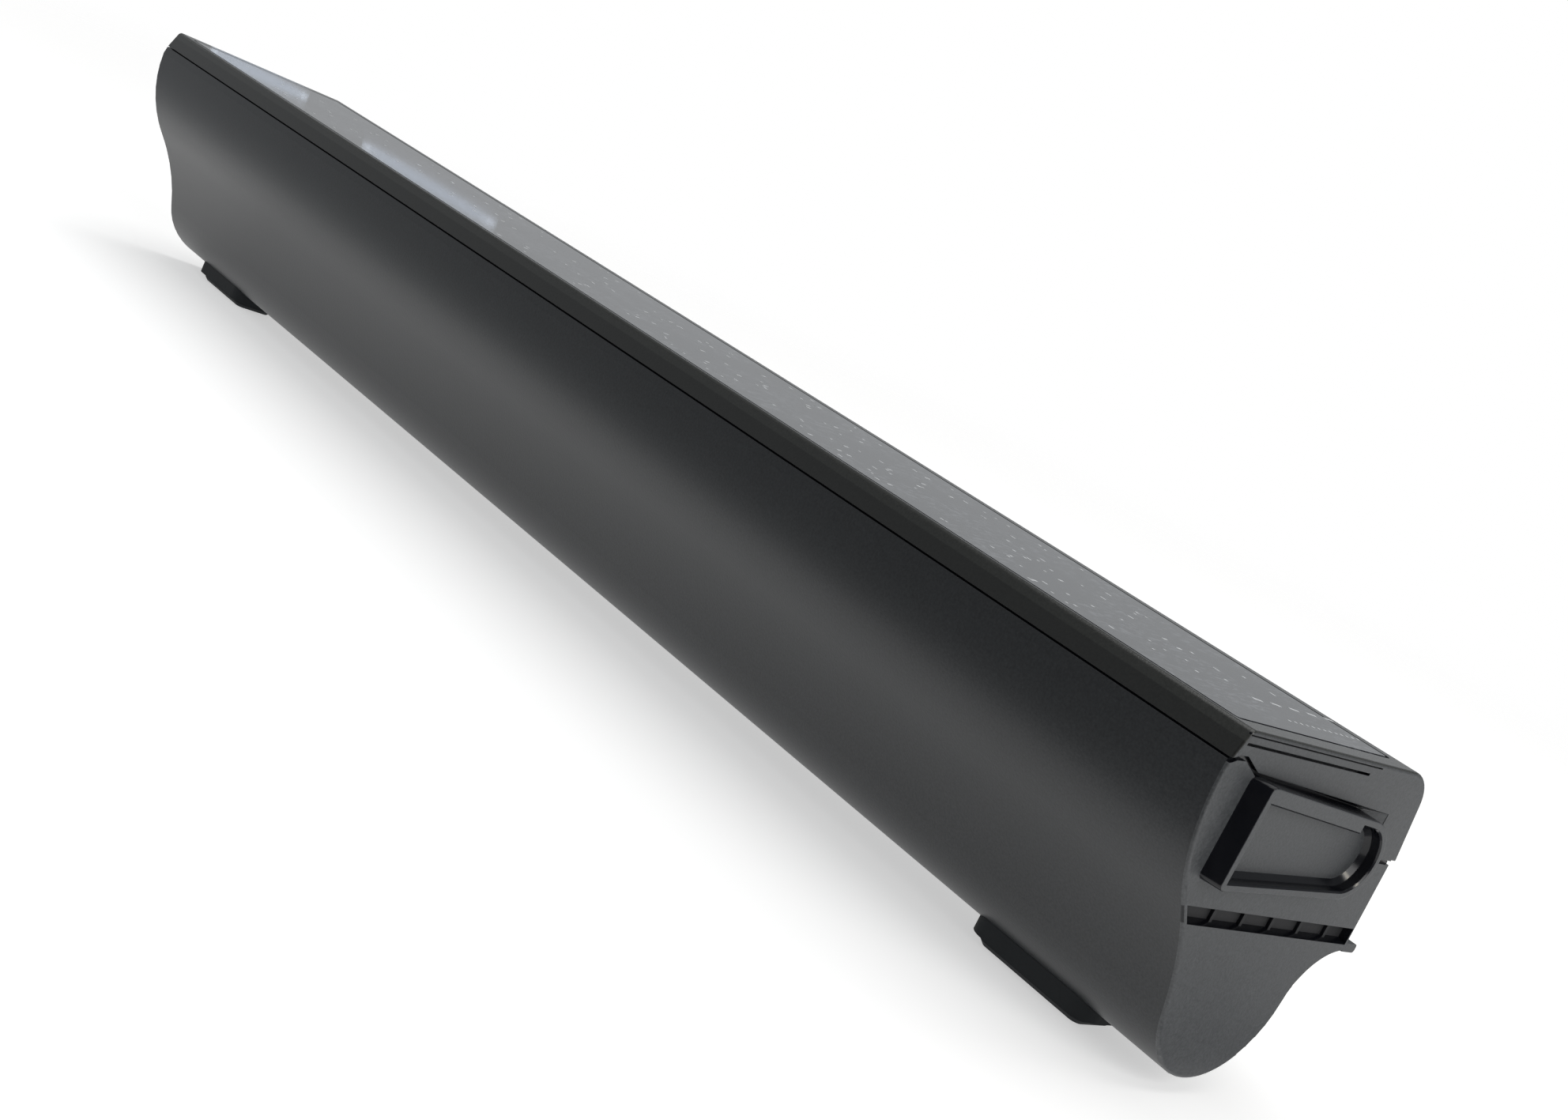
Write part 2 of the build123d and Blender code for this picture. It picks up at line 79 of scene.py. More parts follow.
def start_material(name):
    """A new material, with its node tree, its shader and the coordinates in metres that patterns follow."""
    material = bpy.data.materials.new(name)
    material.use_nodes = True
    tree = material.node_tree
    place = add_node(tree, "ShaderNodeTexCoord", {}).outputs["Object"]
    return material, tree, tree.nodes["Principled BSDF"], place


def dress(material, *names):
    """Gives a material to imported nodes."""
    for name in names:
        nodes[name].data.materials.clear()
        nodes[name].data.materials.append(material)


# PVC sleeve over plated steel: an even satin colour round the can, bare metal on the ends
sleeve_colours = ("#2f6f8c", "#3a7f9b")
can_colour = "#b4b2ad"
sleeve_mottle = 6.0 * mm
end_facing = 0.9
pvc_sleeve, tree, shader, place = start_material("pvc_sleeve_on_plated_steel")
mottle = add_node(tree, "ShaderNodeTexNoise", {"Vector": place, "Scale": 1 / sleeve_mottle, "Detail": 3.0})
sleeve = add_node(tree, "ShaderNodeMix", {0: mottle.outputs["Fac"], 6: linear(sleeve_colours[0]),
                                          7: linear(sleeve_colours[1])}, data_type="RGBA")
facing = add_node(tree, "ShaderNodeSeparateXYZ",
                  {0: add_node(tree, "ShaderNodeNewGeometry", {}).outputs["Normal"]})
along = add_node(tree, "ShaderNodeMath", {0: facing.outputs["X"]}, operation="ABSOLUTE")
bare_end = add_node(tree, "ShaderNodeMath", {0: along.outputs[0], 1: end_facing}, operation="GREATER_THAN")
can = add_node(tree, "ShaderNodeMix", {0: bare_end.outputs[0], 6: sleeve.outputs[2],
                                       7: linear(can_colour)}, data_type="RGBA")
satin = add_node(tree, "ShaderNodeMapRange", {"Value": mottle.outputs["Fac"], "To Min": 0.3, "To Max": 0.42})
set_sockets(tree, shader, {"Base Color": can.outputs[2], "Metallic": bare_end.outputs[0],
                           "Roughness": satin.outputs[0], "IOR": 1.53})
dress(pvc_sleeve, *[name for name in nodes if name.startswith("cell_")])

# Nickel links
# Flat strips of nickel, stamped to join the cells of one column and spot-welded to their ends.
# The rolled strip has a fine grain along one way and dulls unevenly.
nickel_colours = ("#9a978f", "#b7b4ab")
rolling_grain = (0.4 * mm, 0.4 * mm, 8.0 * mm)
rolled_nickel, tree, shader, place = start_material("rolled_nickel_strip")
stretch = add_node(tree, "ShaderNodeMapping",
                   {"Vector": place, "Scale": [1 / grain for grain in rolling_grain]})
rolling = add_node(tree, "ShaderNodeTexNoise", {"Vector": stretch.outputs[0], "Scale": 1.0, "Detail": 4.0})
nickel = add_node(tree, "ShaderNodeMix", {0: rolling.outputs["Fac"], 6: linear(nickel_colours[0]),
                                          7: linear(nickel_colours[1])}, data_type="RGBA")
dull = add_node(tree, "ShaderNodeMapRange", {"Value": rolling.outputs["Fac"], "To Min": 0.28, "To Max": 0.45})
set_sockets(tree, shader, {"Base Color": nickel.outputs[2], "Metallic": 1.0, "Roughness": dull.outputs[0]})
dress(rolled_nickel, *[name for name in nodes if name.startswith("nickel_link")])

# Insulating papers
# Die-cut vulcanised fibre over the outer links, held by its own adhesive.
# Pressed fibres give it a matt, slightly cloudy face.
paper_colours = ("#a8946a", "#bfae86")
fibre_length = 2.5 * mm
felt_relief = 0.03 * mm
fish_paper, tree, shader, place = start_material("vulcanised_fibre_paper")
fibres = add_node(tree, "ShaderNodeTexNoise", {"Vector": place, "Scale": 1 / fibre_length, "Detail": 8.0,
                                               "Distortion": 1.5})
paper = add_node(tree, "ShaderNodeMix", {0: fibres.outputs["Fac"], 6: linear(paper_colours[0]),
                                         7: linear(paper_colours[1])}, data_type="RGBA")
felt = add_node(tree, "ShaderNodeBump", {"Height": fibres.outputs["Fac"], "Distance": felt_relief})
set_sockets(tree, shader, {"Base Color": paper.outputs[2], "Roughness": 0.82, "Normal": felt.outputs[0]})
dress(fish_paper, "insulating_paper_near", "insulating_paper_far")

# Circuit board
# Glass-epoxy laminate under a green solder mask, with copper tracks that show through as paler lines.
# It lies on a ledge of the lower case behind the partition.
mask_colours = ("#17492c", "#236a3e")
track_pitch = 1.6 * mm
tracks_per_block = 4
copper_relief = 0.03 * mm
solder_mask, tree, shader, place = start_material("solder_mask_on_glass_epoxy")
tracks = add_node(tree, "ShaderNodeTexBrick",
                  {"Vector": place, "Scale": 1 / (tracks_per_block * track_pitch),
                   "Color1": linear("#ffffff"), "Color2": linear("#d0d0d0"), "Mortar": linear("#000000"),
                   "Mortar Size": 0.03, "Row Height": 1 / tracks_per_block, "Brick Width": 0.9})
mask = add_node(tree, "ShaderNodeMix", {0: tracks.outputs["Color"], 6: linear(mask_colours[0]),
                                        7: linear(mask_colours[1])}, data_type="RGBA")
copper = add_node(tree, "ShaderNodeBump", {"Height": tracks.outputs["Color"], "Distance": copper_relief})
set_sockets(tree, shader, {"Base Color": mask.outputs[2], "Roughness": 0.32, "IOR": 1.55,
                           "Normal": copper.outputs[0]})
dress(solder_mask, "circuit_board")

# Chips, fuse and resistor
# Parts moulded in black epoxy and soldered flat to the board, and a shunt of copper-nickel alloy.
# Epoxy has a fine, dull grain from its filler, and the alloy a warm brushed face.
epoxy_colours = ("#141516", "#202123")
filler_grain = 0.25 * mm
filled_epoxy, tree, shader, place = start_material("silica_filled_epoxy")
filler = add_node(tree, "ShaderNodeTexNoise", {"Vector": place, "Scale": 1 / filler_grain, "Detail": 2.0})
epoxy = add_node(tree, "ShaderNodeMix", {0: filler.outputs["Fac"], 6: linear(epoxy_colours[0]),
                                         7: linear(epoxy_colours[1])}, data_type="RGBA")
set_sockets(tree, shader, {"Base Color": epoxy.outputs[2], "Roughness": 0.58, "IOR": 1.55})
dress(filled_epoxy, "controller_chip", "power_transistor_1", "power_transistor_2", "fuse")
shunt_colours = ("#8d6a4c", "#a8835f")
brush_mark = 0.6 * mm
brushed_alloy, tree, shader, place = start_material("brushed_copper_nickel")
brushing = add_node(tree, "ShaderNodeTexNoise", {"Vector": place, "Scale": 1 / brush_mark, "Detail": 5.0})
alloy = add_node(tree, "ShaderNodeMix", {0: brushing.outputs["Fac"], 6: linear(shunt_colours[0]),
                                         7: linear(shunt_colours[1])}, data_type="RGBA")
set_sockets(tree, shader, {"Base Color": alloy.outputs[2], "Metallic": 1.0, "Roughness": 0.38})
dress(brushed_alloy, "sense_resistor")

# Leads
# Flat stranded leads in PVC, from the links to the board: red and black for power, yellow to sense.
# Extruded PVC is smooth and faintly streaked along its length.
lead_colours = {"lead_positive": "#a3241f", "lead_negative": "#1b1c1e", "lead_sense_1": "#c9a62c",
                "lead_sense_2": "#c9a62c", "lead_sense_3": "#c9a62c"}
streak_width = 0.3 * mm
for name, colour in lead_colours.items():
    extruded_pvc, tree, shader, place = start_material("extruded_pvc_" + name)
    streaks = add_node(tree, "ShaderNodeTexNoise",
                       {"Vector": place, "Scale": 1 / streak_width, "Detail": 2.0})
    streak_tone = add_node(tree, "ShaderNodeMapRange",
                           {"Value": streaks.outputs["Fac"], "To Min": 0.85, "To Max": 1.15})
    sheath = add_node(tree, "ShaderNodeHueSaturation",
                      {"Color": linear(colour), "Value": streak_tone.outputs[0]})
    set_sockets(tree, shader, {"Base Color": sheath.outputs[0], "Roughness": 0.4, "IOR": 1.53})
    dress(extruded_pvc, name)

# Output connector
# Black glass-filled polyamide, moulded with a slot for each contact and held in the window of the back wall.
# The glass fibres leave short pale streaks in a dull face.
polyamide_colours = ("#161718", "#26282a")
glass_fibre = (1.2 * mm, 0.25 * mm, 0.25 * mm)
fibre_height = 0.01 * mm
filled_polyamide, tree, shader, place = start_material("glass_filled_polyamide")
stretch = add_node(tree, "ShaderNodeMapping", {"Vector": place, "Scale": [1 / size for size in glass_fibre]})
fibres = add_node(tree, "ShaderNodeTexNoise", {"Vector": stretch.outputs[0], "Scale": 1.0, "Detail": 3.0})
polyamide = add_node(tree, "ShaderNodeMix", {0: fibres.outputs["Fac"], 6: linear(polyamide_colours[0]),
                                             7: linear(polyamide_colours[1])}, data_type="RGBA")
fibre_relief = add_node(tree, "ShaderNodeBump", {"Height": fibres.outputs["Fac"], "Distance": fibre_height})
set_sockets(tree, shader, {"Base Color": polyamide.outputs[2], "Roughness": 0.5, "IOR": 1.53,
                           "Normal": fibre_relief.outputs[0]})
dress(filled_polyamide, "connector_body")
brass_colours = ("#b98f3c", "#d4ad58")
tarnish_spot = 0.8 * mm
stamped_brass, tree, shader, place = start_material("stamped_brass")
tarnish = add_node(tree, "ShaderNodeTexNoise", {"Vector": place, "Scale": 1 / tarnish_spot, "Detail": 3.0})
brass = add_node(tree, "ShaderNodeMix", {0: tarnish.outputs["Fac"], 6: linear(brass_colours[0]),
                                         7: linear(brass_colours[1])}, data_type="RGBA")
worn = add_node(tree, "ShaderNodeMapRange", {"Value": tarnish.outputs["Fac"], "To Min": 0.22, "To Max": 0.36})
set_sockets(tree, shader, {"Base Color": brass.outputs[2], "Metallic": 1.0, "Roughness": worn.outputs[0]})
dress(stamped_brass, *[name for name in nodes if name.startswith("contact_")])

# Lower case
# The large PC/ABS moulding with the wavy front, the bump and the shown end with its rim and ribbed slot.
# The mould was spark-eroded for a fine matt grain, but the walls of rim, moat and slot are left polished.
rim_height = 2.4 * mm
end_zone_depth = 1.8 * mm
rim_zone = ((-17.6 * mm, 13.0 * mm), (26.0 * mm, 39.5 * mm))
moat_end_zone = ((10.0 * mm, 13.0 * mm), (33.0 * mm, 38.0 * mm))
moat_rise_zone = ((12.0 * mm, 13.0 * mm), (34.0 * mm, 38.0 * mm))
moat_depth = 1.0 * mm
rise_tolerance = 0.05 * mm
slot_zone = ((-15.9 * mm, 19.3 * mm), (21.0 * mm, 23.45 * mm))
front_seam_zone = ((-21.7 * mm, -15.5 * mm), (38.5 * mm, 40.7 * mm))
back_seam_zone = ((12.5 * mm, 20.5 * mm), (31.6 * mm, 32.6 * mm))
groove_start = 0.3 * mm
slot_wall_start = 0.5 * mm
wall_facing = 0.85
long_wall_facing = 0.5
grain_width = 0.32 * mm
grain_relief = 0.02 * mm
cloud_width = 16.0 * mm
edge_rounding = 0.12 * mm
end_face_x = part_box("lower_case")[1].x - rim_height


def copy_node(node, name):
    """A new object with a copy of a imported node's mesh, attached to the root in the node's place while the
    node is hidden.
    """
    mesh = nodes[node].data.copy()
    mesh.materials.clear()
    piece = bpy.data.objects.new(name, mesh)
    bpy.context.scene.collection.objects.link(piece)
    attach(piece, "root")
    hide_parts(node)
    return piece


def inside(point, zone):
    """Whether a point's Y and Z lie in a zone of the shown end."""
    return zone[0][0] < point.y < zone[0][1] and zone[1][0] < point.z < zone[1][1]


def matt_plastic(name, colours, roughness, specular=0.5):
    """PC/ABS from a spark-eroded mould: a fine grain that breaks up the light into a soft grey sheen."""
    material, tree, shader, place = start_material(name)
    grain = add_node(tree, "ShaderNodeTexNoise", {"Vector": place, "Scale": 1 / grain_width, "Detail": 3.0,
                                                  "Roughness": 0.6})
    cloud = add_node(tree, "ShaderNodeTexNoise", {"Vector": place, "Scale": 1 / cloud_width, "Detail": 2.0})
    speck = add_node(tree, "ShaderNodeMapRange",
                     {"Value": grain.outputs["Fac"], "From Min": 0.3, "From Max": 0.7})
    grey = add_node(tree, "ShaderNodeMix",
                    {0: speck.outputs[0], 6: linear(colours[0]), 7: linear(colours[1])}, data_type="RGBA")
    shade = add_node(tree, "ShaderNodeMapRange",
                     {"Value": cloud.outputs["Fac"], "To Min": 0.9, "To Max": 1.1})
    tinted = add_node(tree, "ShaderNodeHueSaturation", {"Color": grey.outputs[2], "Value": shade.outputs[0]})
    sheen = add_node(tree, "ShaderNodeMapRange", {"Value": grain.outputs["Fac"], "To Min": roughness - 0.06,
                                                  "To Max": roughness + 0.06})
    edge = add_node(tree, "ShaderNodeBevel", {"Radius": edge_rounding}, samples=4)
    relief = add_node(tree, "ShaderNodeBump", {"Height": grain.outputs["Fac"], "Distance": grain_relief,
                                               "Normal": edge.outputs[0]})
    set_sockets(tree, shader, {"Base Color": tinted.outputs[0], "Roughness": sheen.outputs[0], "IOR": 1.55,
                               "Specular IOR Level": specular, "Normal": relief.outputs[0]})
    return material


# Grey to the eye, because the grain scatters the light of the table
eroded_plastic = matt_plastic("spark_eroded_pc_abs", ("#323436", "#46484a"), 0.45)

# The same plastic from the smoother mould side of the long walls: a satin that mirrors the table softly
satin_plastic = matt_plastic("satin_pc_abs", ("#1e2022", "#2e3032"), 0.4, 0.4)

# The same plastic deep in the slot, dull and much darker: painted shade of the recess
slot_shade_plastic = matt_plastic("slot_shade_pc_abs", ("#151517", "#1e1e21"), 0.68)

# The same plastic from a polished wall: near black, with clear highlights and a few wipe marks
polish_colours = ("#0d0e12", "#16171b")
wipe_mark = 3.0 * mm
polished_plastic, tree, shader, place = start_material("polished_pc_abs")
wipes = add_node(tree, "ShaderNodeTexNoise", {"Vector": place, "Scale": 1 / wipe_mark, "Detail": 4.0,
                                              "Distortion": 1.0})
gloss = add_node(tree, "ShaderNodeMix", {0: wipes.outputs["Fac"], 6: linear(polish_colours[0]),
                                         7: linear(polish_colours[1])}, data_type="RGBA")
smear = add_node(tree, "ShaderNodeMapRange", {"Value": wipes.outputs["Fac"], "To Min": 0.12, "To Max": 0.24})
edge = add_node(tree, "ShaderNodeBevel", {"Radius": edge_rounding}, samples=4)
set_sockets(tree, shader, {"Base Color": gloss.outputs[2], "Roughness": smear.outputs[0], "IOR": 1.55,
                           "Specular IOR Level": 0.3, "Normal": edge.outputs[0]})

lower_case = copy_node("lower_case", "lower_case_shell")
for finish in (eroded_plastic, polished_plastic, slot_shade_plastic, satin_plastic):
    lower_case.data.materials.append(finish)

# The moat's floor rises to the end face at its right end, so that it tapers out there
mesh = lower_case.data
corner_normals = [corner.vector.copy() for corner in mesh.corner_normals]
raised = {vertex.index for vertex in mesh.vertices if inside(vertex.co, moat_rise_zone)
          and abs(end_face_x - vertex.co.x - moat_depth) < rise_tolerance}
for i in raised:
    mesh.vertices[i].co.x = end_face_x - rise_tolerance
mesh.update()
for face in mesh.polygons:
    if raised.intersection(face.vertices):
        for corner in face.loop_indices:
            corner_normals[corner] = face.normal.copy()
mesh.normals_split_custom_set(corner_normals)

for face in mesh.polygons:
    depth = end_face_x - face.center.x
    at_end = depth < end_zone_depth
    is_wall = abs(face.normal.x) < wall_facing
    on_rim = at_end and inside(face.center, rim_zone) and (is_wall or depth > groove_start)
    in_slot = at_end and inside(face.center, slot_zone) and (is_wall or depth > slot_wall_start)
    by_seam = inside(face.center, front_seam_zone) or inside(face.center, back_seam_zone)
    in_seam = by_seam and (face.normal.z > wall_facing or groove_start < depth < end_zone_depth)
    in_slot_back = in_slot and not is_wall
    in_moat_end = at_end and inside(face.center, moat_end_zone) and depth > groove_start
    on_long_wall = depth > end_zone_depth and abs(face.normal.x) < long_wall_facing
    # The slot's back wall and rib fronts take the dark slot plastic, painted shade where the recess is shaded
    if in_slot_back:
        face.material_index = 2
    elif (on_rim or in_slot or in_seam) and not in_moat_end:
        face.material_index = 1
    elif on_long_wall:
        face.material_index = 3

# Upper case
# The shallow cover with the dark strip along its front, snapped and welded onto the lower case.
# The strip is finer-grained and darker than the rest, and paler along its upper edge: a painted highlight
# where its rounded top edge catches the light.
cover_slot_zone = ((-20.6 * mm, 6.8 * mm), (41.5 * mm, 43.1 * mm))
cover_slot_start = 0.12 * mm
cover_seam_zone = ((-21.7 * mm, 13.0 * mm), (37.0 * mm, 40.8 * mm))
strip_facing = 0.5
strip_limit_y = -15.0 * mm
strip_highlight_band = (42.0 * mm, 42.12 * mm)
strip_highlight_gain = 2.2
fine_plastic = matt_plastic("fine_grained_pc_abs", ("#161715", "#20211f"), 0.4)
tree = fine_plastic.node_tree
shader = tree.nodes["Principled BSDF"]
strip_colour = shader.inputs["Base Color"].links[0].from_socket
place = add_node(tree, "ShaderNodeTexCoord", {}).outputs["Object"]
height = add_node(tree, "ShaderNodeSeparateXYZ", {0: place})
# Painted highlight: above a set height the strip's colour is made paler, as if its top edge caught the light
strip_highlight = add_node(tree, "ShaderNodeMapRange", {"Value": height.outputs["Z"], "From Min": strip_highlight_band[0],
                                              "From Max": strip_highlight_band[1], "To Min": 1.0, "To Max": strip_highlight_gain})
tinted = add_node(tree, "ShaderNodeHueSaturation", {"Color": strip_colour, "Value": strip_highlight.outputs[0]})
set_sockets(tree, shader, {"Base Color": tinted.outputs[0]})

# The frame round the label is smoother, so that at a low angle it shines almost as the film does
smooth_plastic = matt_plastic("smooth_pc_abs", ("#2b2c2a", "#393a37"), 0.24)

upper_case = copy_node("upper_case", "upper_case_cover")
for finish in (eroded_plastic, polished_plastic, fine_plastic, smooth_plastic):
    upper_case.data.materials.append(finish)
for face in upper_case.data.polygons:
    depth = end_face_x - face.center.x
    is_wall = abs(face.normal.x) < wall_facing
    in_slot = inside(face.center, cover_slot_zone) and cover_slot_start < depth < end_zone_depth
    in_seam = inside(face.center, cover_seam_zone) and is_wall and 0 < depth < end_zone_depth
    if in_slot or in_seam:
        face.material_index = 1
    elif face.center.y < strip_limit_y and face.normal.y < -strip_facing and face.normal.z < strip_facing:
        face.material_index = 2
    elif face.normal.z > strip_facing:
        face.material_index = 3

# Rubber feet
# Two soft pads of polyurethane, pressed into the bump's underside, with a stepped and chamfered outline.
# Moulded rubber is dull and slightly dusty, with a faint pebble grain.
rubber_colours = ("#121517", "#1d2124")
pebble = 0.5 * mm
pebble_relief = 0.04 * mm
dust_patch = 5.0 * mm
moulded_rubber, tree, shader, place = start_material("moulded_polyurethane_rubber")
pebbles = add_node(tree, "ShaderNodeTexVoronoi", {"Vector": place, "Scale": 1 / pebble}, feature="SMOOTH_F1")
dust = add_node(tree, "ShaderNodeTexNoise", {"Vector": place, "Scale": 1 / dust_patch, "Detail": 4.0})
rubber = add_node(tree, "ShaderNodeMix", {0: dust.outputs["Fac"], 6: linear(rubber_colours[0]),
                                          7: linear(rubber_colours[1])}, data_type="RGBA")
skin = add_node(tree, "ShaderNodeBump", {"Height": pebbles.outputs["Distance"], "Distance": pebble_relief,
                                         "Strength": 0.5})
set_sockets(tree, shader, {"Base Color": rubber.outputs[2], "Roughness": 0.72, "IOR": 1.5,
                           "Specular IOR Level": 0.3, "Normal": skin.outputs[0]})
dress(moulded_rubber, "rubber_foot_near", "rubber_foot_far")

# Label film
# A dark polyester film under a satin laminate, laid in the framed recess of the cover.
# It is never quite flat, so its reflections swim, and the laminate has a fine orange peel.
film_colours = ("#2b2d30", "#383a3e")
film_wave = 26.0 * mm
film_wave_height = 0.05 * mm
peel_width = 0.6 * mm
peel_relief = 0.004 * mm
faint_row = (0.5 * mm, 1.6 * mm, 1.0 * mm)
faint_block = 14.0 * mm
row_edges = (0.52, 0.66)
block_edges = (0.42, 0.55)
faint_ink_colour = "#66696e"
satin_film, tree, shader, place = start_material("satin_polyester_film")
wave = add_node(tree, "ShaderNodeTexNoise", {"Vector": place, "Scale": 1 / film_wave, "Detail": 1.0})
peel = add_node(tree, "ShaderNodeTexNoise", {"Vector": place, "Scale": 1 / peel_width, "Detail": 2.0})
film = add_node(tree, "ShaderNodeMix", {0: peel.outputs["Fac"], 6: linear(film_colours[0]),
                                        7: linear(film_colours[1])}, data_type="RGBA")
swell = add_node(tree, "ShaderNodeBump", {"Height": wave.outputs["Fac"], "Distance": film_wave_height})
skin = add_node(tree, "ShaderNodeBump", {"Height": peel.outputs["Fac"], "Distance": peel_relief,
                                         "Normal": swell.outputs[0]})
satin = add_node(tree, "ShaderNodeMapRange", {"Value": peel.outputs["Fac"], "To Min": 0.1, "To Max": 0.17})
stretch = add_node(tree, "ShaderNodeMapping", {"Vector": place, "Scale": [1 / size for size in faint_row]})
rows = add_node(tree, "ShaderNodeTexNoise", {"Vector": stretch.outputs[0], "Scale": 1.0, "Detail": 2.0})
blocks = add_node(tree, "ShaderNodeTexNoise", {"Vector": place, "Scale": 1 / faint_block, "Detail": 1.0})
row_ink = add_node(tree, "ShaderNodeMapRange",
                   {"Value": rows.outputs["Fac"], "From Min": row_edges[0], "From Max": row_edges[1]})
block_ink = add_node(tree, "ShaderNodeMapRange",
                     {"Value": blocks.outputs["Fac"], "From Min": block_edges[0], "From Max": block_edges[1]})
faint_ink = add_node(tree, "ShaderNodeMath", {0: row_ink.outputs[0], 1: block_ink.outputs[0]},
                     operation="MULTIPLY")
printed = add_node(tree, "ShaderNodeMix", {0: faint_ink.outputs[0], 6: film.outputs[2],
                                           7: linear(faint_ink_colour)}, data_type="RGBA")
set_sockets(tree, shader, {"Base Color": printed.outputs[2], "Roughness": satin.outputs[0], "IOR": 1.6,
                           "Normal": skin.outputs[0]})
dress(satin_film, "label")

# Label print
# Plain dashes, dots and specks in silver-grey ink, screen printed on the film in rows, with no wording.
# The ink stands a little proud of the film and is paler and duller than it.
ink_height = 0.012 * mm
row_pitch = 2.1 * mm
print_margin = 1.6 * mm
plain_end = 8.0 * mm
row_wander = 0.3
speck_sizes = ((0.4 * mm, 0.4 * mm), (0.5 * mm, 0.5 * mm), (0.45 * mm, 0.9 * mm), (0.9 * mm, 0.4 * mm))
most_specks = 5
bold_row = {"x": 131.6 * mm, "start": -3.6 * mm, "pitch": 3.9 * mm, "length": 1.6 * mm, "width": 0.5 * mm,
            "count": 5, "slant": math.radians(-14)}
dot_row = {"x": 136.6 * mm, "start": -3.4 * mm, "pitch": 1.25 * mm, "length": 0.4 * mm, "width": 0.4 * mm,
           "count": 13, "slant": 0.0}
film_low, film_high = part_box("label")
draw = random.Random(11)
ink_marks = []
for row in (bold_row, dot_row):
    for i in range(row["count"]):
        mark_y = row["start"] + i * row["pitch"]
        ink_marks.append((row["x"], mark_y, row["width"], row["length"], row["slant"]))
row_x = bold_row["x"] - 2 * row_pitch
while row_x > film_low.x + plain_end:
    near_share = (row_x - film_low.x) / (film_high.x - film_low.x)
    for i in range(draw.randint(0, 1 + round(most_specks * near_share))):
        width, length = draw.choice(speck_sizes)
        mark_x = row_x + draw.uniform(-row_wander, row_wander) * row_pitch
        mark_y = draw.uniform(film_low.y + print_margin, film_high.y - print_margin - length)
        ink_marks.append((mark_x, mark_y, width, length, 0.0))
    row_x -= row_pitch

ink = bmesh.new()
for mark_x, mark_y, width, length, slant in ink_marks:
    middle = Vector((mark_x, mark_y + length / 2, film_high.z + ink_height / 2))
    size = Matrix.Diagonal((width, length, ink_height, 1))
    turn = Matrix.Rotation(slant, 4, "Z")
    bmesh.ops.create_cube(ink, size=1.0, matrix=Matrix.Translation(middle) @ turn @ size)
ink_mesh = bpy.data.meshes.new("label_print")
ink.to_mesh(ink_mesh)
ink.free()
label_print = bpy.data.objects.new("label_print", ink_mesh)
bpy.context.scene.collection.objects.link(label_print)
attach(label_print, "root")
ink_colours = ("#d6d9dc", "#f1f3f4")
ink_cloud = 1.5 * mm
silver_ink, tree, shader, place = start_material("silver_screen_ink")
cover = add_node(tree, "ShaderNodeTexNoise", {"Vector": place, "Scale": 1 / ink_cloud, "Detail": 2.0})
grey = add_node(tree, "ShaderNodeMix", {0: cover.outputs["Fac"], 6: linear(ink_colours[0]),
                                        7: linear(ink_colours[1])}, data_type="RGBA")
set_sockets(tree, shader, {"Base Color": grey.outputs[2], "Roughness": 0.4, "IOR": 1.5})
ink_mesh.materials.append(silver_ink)

# Floor
# A pale matt sheet lit from below, as on a light table, which fades into the white room some way off.
# Its glow and the lamps together come to white, and it keeps the pack's shadow.
floor_half = 4.0
floor_drop = 0.02 * mm
floor_glow = 0.5
floor_fade = (0.28, 0.75)
floor_colour = "#e9e9e8"
floor_mesh = bpy.data.meshes.new("floor")
floor_corners = [(x * floor_half, y * floor_half, -floor_drop)
                 for x, y in ((-1, -1), (1, -1), (1, 1), (-1, 1))]
floor_mesh.from_pydata(floor_corners, [], [(0, 1, 2, 3)])
floor = bpy.data.objects.new("floor", floor_mesh)
bpy.context.scene.collection.objects.link(floor)
pale_sheet, tree, shader, place = start_material("pale_matt_sheet")
reach = add_node(tree, "ShaderNodeVectorMath", {0: place}, operation="LENGTH")
fade = add_node(tree, "ShaderNodeMapRange", {"Value": reach.outputs["Value"], "From Min": floor_fade[0],
                                             "From Max": floor_fade[1], "To Min": 1.0, "To Max": 0.0},
                interpolation_type="SMOOTHSTEP")
set_sockets(tree, shader, {"Base Color": linear(floor_colour), "Roughness": 0.9, "Specular IOR Level": 0.0,
                           "Emission Color": linear("#ffffff"), "Emission Strength": floor_glow,
                           "Alpha": fade.outputs[0]})
floor_mesh.materials.append(pale_sheet)

# Studio surround
# A white room to the eye, with a low grey wall round the table and cards that shape the reflections.
# Wall and cards show in reflections only, apart from the flag, which also shades the front.
room_light = 0.25
wall_radius = 1.3
wall_height = 0.55
room_height = 1.6
wall_sides = 48
world = bpy.data.worlds.new("white_room")
world.use_nodes = True
bpy.context.scene.world = world
tree = world.node_tree
ray = add_node(tree, "ShaderNodeLightPath", {})
mirrored = add_node(tree, "ShaderNodeMath",
                    {0: ray.outputs["Is Glossy Ray"], 1: ray.outputs["Is Transmission Ray"]},
                    operation="MAXIMUM")
seen = add_node(tree, "ShaderNodeMath", {0: ray.outputs["Is Camera Ray"], 1: mirrored.outputs[0]},
                operation="MAXIMUM")
level = add_node(tree, "ShaderNodeMapRange", {"Value": seen.outputs[0], "To Min": room_light, "To Max": 1.0})
set_sockets(tree, tree.nodes["Background"], {"Color": linear("#ffffff"), "Strength": level.outputs[0]})


def reflected_card(name, corners, faces, colour, strength):
    """A glowing or dark card of the stage that shows in reflections only."""
    mesh = bpy.data.meshes.new(name)
    mesh.from_pydata(corners, [], faces)
    card = bpy.data.objects.new(name, mesh)
    bpy.context.scene.collection.objects.link(card)
    card.visible_camera = False
    card.visible_diffuse = False
    card.visible_shadow = False
    card.visible_transmission = False
    material, tree, shader, place = start_material(name)
    set_sockets(tree, shader, {"Base Color": linear("#000000"), "Specular IOR Level": 0.0,
                               "Emission Color": linear(colour), "Emission Strength": strength})
    mesh.materials.append(material)
    return card


